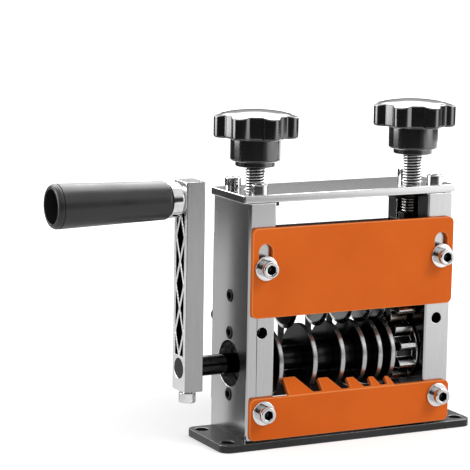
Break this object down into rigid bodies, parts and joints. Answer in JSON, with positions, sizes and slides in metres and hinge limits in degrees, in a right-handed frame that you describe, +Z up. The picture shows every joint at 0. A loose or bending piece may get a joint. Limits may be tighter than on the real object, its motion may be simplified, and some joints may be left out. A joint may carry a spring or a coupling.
{
  "type": "hand crank wire stripper",
  "caption": "Bench tool that strips cable: a crank turns slotted feed rollers under circular blades held between two upright plates, with star knobs that set the blade height.",
  "frame": {"origin": "on the underside of the base plate, under the middle of the drive shaft", "axes": "+Z up, +X from the crank towards the gears, -Y towards the person feeding the cable"},
  "size_m": [0.2698, 0.0643, 0.2013],
  "materials": {
    "black_steel": "glossy near-black with bright edges",
    "satin_aluminium": "satin",
    "polished_steel": "polished",
    "chrome": "polished",
    "black_oxide": "blackened",
    "bearing_steel": "ground",
    "black_rubber": "matt",
    "orange_paint": "satin powder coat",
    "grey_paint": "satin",
    "bronze": "machined",
    "gloss_black_plastic": "glossy",
    "satin_black_plastic": "satin",
    "blade_steel": "ground",
    "dark_steel": "blackened with bright rims",
    "gear_steel": "bright teeth"
  },
  "bodies": {
    "frame": {"base_plate": "black_steel", "side_plate_left": "satin_aluminium", "side_plate_right": "satin_aluminium", "top_plate": "polished_steel", "top_plate_screws": "chrome", "base_screws": "black_oxide", "stud_nuts": "black_oxide", "bearing_outer_rings": "bearing_steel", "bearing_balls": "bearing_steel", "bearing_seals": "black_rubber", "bearing_circlips": "black_oxide", "bearing_keepers": "black_oxide", "keeper_screws": "black_oxide", "block_lock_screws": "black_oxide", "lower_cover": "orange_paint", "lower_cover_screws": "chrome", "lower_cover_washers": "chrome", "back_cover": "grey_paint", "back_cover_screws": "black_oxide", "upper_cover_screws": "chrome", "upper_cover_washers": "chrome"},
    "sliding_cover": {"upper_cover": "orange_paint"},
    "carriage": {"bearing_block_left": "black_oxide", "bearing_block_right": "black_oxide", "cutter_bushes": "bronze"},
    "left_knob": {"knob_left": "gloss_black_plastic", "stud_left": "polished_steel", "stud_collar_left": "black_oxide", "stud_end_nut_left": "polished_steel"},
    "right_knob": {"knob_right": "gloss_black_plastic", "stud_right": "polished_steel", "stud_collar_right": "black_oxide", "stud_end_nut_right": "polished_steel"},
    "cutter": {"cutter_shaft": "bearing_steel", "cutter_key": "bearing_steel", "cutter_blades": "blade_steel", "blade_spacers": "dark_steel", "cutter_gear": "gear_steel"},
    "drive": {"drive_shaft": "dark_steel", "drive_key": "bearing_steel", "feed_discs": "dark_steel", "channel_sleeves": "dark_steel", "end_sleeves": "dark_steel", "drive_gear": "gear_steel", "bearing_inner_rings": "bearing_steel", "shaft_circlips": "black_oxide", "crank_arm": "satin_aluminium", "crank_clamp_screw": "chrome", "grip_bolt": "chrome", "grip_spacer": "chrome"},
    "grip": {"grip_sleeve": "satin_black_plastic"}
  },
  "joints": [
    {"name": "left_knob_turn", "type": "hinge", "parent": "carriage", "child": "left_knob", "pos_m": [-0.0542, 0, 0.16], "axis": [0, 0, 1], "range_deg": [-720.5, 309]},
    {"name": "right_knob_turn", "type": "hinge", "parent": "carriage", "child": "right_knob", "pos_m": [0.0542, 0, 0.16], "axis": [0, 0, 1], "range_deg": [-720.5, 309]},
    {"name": "blade_height", "type": "slide", "parent": "frame", "child": "carriage", "axis": [0, 0, 1], "range_m": [-0.0035, 0.0015]},
    {"name": "cover_height", "type": "slide", "parent": "frame", "child": "sliding_cover", "axis": [0, 0, 1], "range_m": [-0.0097, 0]},
    {"name": "crank_turn", "type": "hinge", "parent": "frame", "child": "drive", "pos_m": [0, 0, 0.0476], "axis": [1, 0, 0], "continuous": true},
    {"name": "cutter_turn", "type": "hinge", "parent": "carriage", "child": "cutter", "pos_m": [0, 0, 0.0841], "axis": [1, 0, 0], "continuous": true},
    {"name": "grip_spin", "type": "hinge", "parent": "drive", "child": "grip", "pos_m": [-0.13, 0, 0.1476], "axis": [1, 0, 0], "continuous": true}
  ],
  "couplings": [
    {"joint": "left_knob_turn", "follows": "blade_height", "rad_per_m": 3590.4},
    {"joint": "right_knob_turn", "follows": "blade_height", "rad_per_m": 3590.4},
    {"joint": "cutter_turn", "follows": "crank_turn", "ratio": -1}
  ]
}
